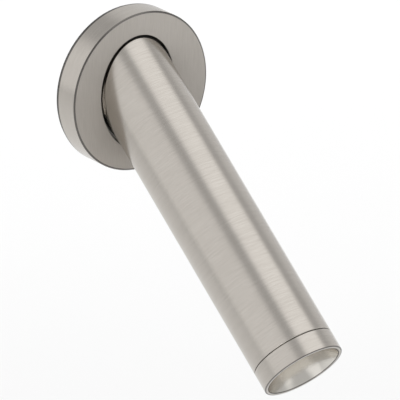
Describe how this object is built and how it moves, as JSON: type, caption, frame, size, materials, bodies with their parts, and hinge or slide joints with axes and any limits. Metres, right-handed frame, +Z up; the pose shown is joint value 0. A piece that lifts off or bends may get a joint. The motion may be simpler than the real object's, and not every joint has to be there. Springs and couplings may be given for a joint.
{
  "type": "wall mounted bath spout",
  "caption": "Round brushed nickel wall flange with a straight round spout that slopes down to an open mouth with a screw-on end ring.",
  "frame": {"origin": "where the axis of the supply pipe's bore meets the wall plane", "axes": "+Z up, +Y into the wall, the spout stands out towards -Y and slopes down at 40 degrees"},
  "size_m": [0.076, 0.1435, 0.1528],
  "materials": {
    "brushed_nickel": "brushed nickel plate on brass, satin",
    "brass": "machined, unplated",
    "spring_steel": "oiled spring steel",
    "screw_steel": "stainless steel",
    "seal_rubber": "matt black rubber",
    "gasket_foam": "grey closed-cell foam rubber",
    "grey_nylon": "moulded grey nylon",
    "waterway_plastic": "natural moulded plastic pipe",
    "former_plastic": "pale moulded plastic"
  },
  "bodies": {
    "spout": {"spout_tube": "brushed_nickel", "tube_end_plug": "brass", "inlet_boss": "brushed_nickel", "inlet_adapter": "brass", "adapter_clip": "spring_steel", "pipe_seal_rear": "seal_rubber", "pipe_seal_front": "seal_rubber", "set_screw": "screw_steel", "waterway_tube": "waterway_plastic", "nipple_seal": "seal_rubber", "centring_spacer": "grey_nylon", "outlet_socket": "brass", "socket_seal": "seal_rubber", "wall_gasket": "gasket_foam"},
    "flange": {"escutcheon": "brushed_nickel", "escutcheon_liner": "grey_nylon", "rim_seal": "seal_rubber"},
    "washer": {"outlet_washer": "seal_rubber"},
    "end_ring": {"outlet_ring": "brushed_nickel", "sleeve_seal": "seal_rubber", "stream_former": "former_plastic", "diffuser_disc": "former_plastic", "cartridge_retainer": "spring_steel"}
  },
  "joints": [
    {"name": "flange_slide", "type": "slide", "parent": "spout", "child": "flange", "axis": [0, -0.766, -0.6428], "range_m": [0, 0.11]},
    {"name": "washer_travel", "type": "slide", "parent": "spout", "child": "washer", "axis": [0, -0.766, -0.6428], "range_m": [0, 0.0061]},
    {"name": "end_ring_turn", "type": "hinge", "parent": "washer", "child": "end_ring", "pos_m": [0, -0.12344, -0.09347], "axis": [0, -0.766, -0.6428], "range_deg": [0, 1440]}
  ],
  "couplings": [
    {"joint": "washer_travel", "follows": "end_ring_turn", "m_per_rad": 0.00023873}
  ]
}
